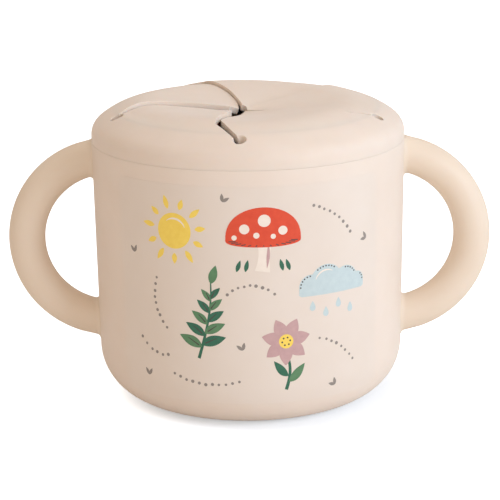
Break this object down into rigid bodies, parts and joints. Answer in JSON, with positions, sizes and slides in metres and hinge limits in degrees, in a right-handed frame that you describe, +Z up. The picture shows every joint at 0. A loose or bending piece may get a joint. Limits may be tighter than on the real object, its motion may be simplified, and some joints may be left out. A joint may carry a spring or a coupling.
{
  "type": "toddler snack container",
  "caption": "Round snack cup with a ring handle at each side and a soft push-in lid, whose curved flaps spring back after a small hand reaches in.",
  "frame": {"origin": "centre of the base, on the surface that the cup stands on", "axes": "+Z up along the cup's axis, +X towards the handle at the right, -Y towards the front with the printed film"},
  "size_m": [0.1402, 0.09, 0.0862],
  "materials": {
    "cup_plastic": "matte warm cream polypropylene",
    "film": "matte printed film, cream ground",
    "lid_silicone": "matte warm cream silicone"
  },
  "bodies": {
    "cup": {"cup_shell": "cup_plastic", "handle_left": "cup_plastic", "handle_right": "cup_plastic", "print_film": "film"},
    "lid": {"lid_ring": "lid_silicone"},
    "flap_front_right": {"flap_front_right": "lid_silicone"},
    "flap_right": {"flap_right": "lid_silicone"},
    "flap_back": {"flap_back": "lid_silicone"},
    "flap_left": {"flap_left": "lid_silicone"},
    "flap_front_left": {"flap_front_left": "lid_silicone"}
  },
  "joints": [
    {"name": "lid_lift", "type": "slide", "parent": "cup", "child": "lid", "axis": [0, 0, 1], "range_m": [0, 0.03]},
    {"name": "fold_front_right", "type": "hinge", "parent": "lid", "child": "flap_front_right", "pos_m": [0.01678, -0.02487, 0.08425], "axis": [-0.829, -0.5592, 0], "range_deg": [-60, 80], "stiffness_Nm_per_rad": 0.01},
    {"name": "fold_right", "type": "hinge", "parent": "lid", "child": "flap_right", "pos_m": [0.02884, 0.00827, 0.08425], "axis": [0.2756, -0.9613, 0], "range_deg": [-60, 80], "stiffness_Nm_per_rad": 0.01},
    {"name": "fold_back", "type": "hinge", "parent": "lid", "child": "flap_back", "pos_m": [0.00105, 0.02998, 0.08425], "axis": [0.9994, -0.0349, 0], "range_deg": [-60, 80], "stiffness_Nm_per_rad": 0.01},
    {"name": "fold_left", "type": "hinge", "parent": "lid", "child": "flap_left", "pos_m": [-0.02819, 0.01026, 0.08425], "axis": [0.342, 0.9397, 0], "range_deg": [-60, 80], "stiffness_Nm_per_rad": 0.01},
    {"name": "fold_front_left", "type": "hinge", "parent": "lid", "child": "flap_front_left", "pos_m": [-0.01847, -0.02364, 0.08425], "axis": [-0.788, 0.6157, 0], "range_deg": [-60, 80], "stiffness_Nm_per_rad": 0.01}
  ]
}
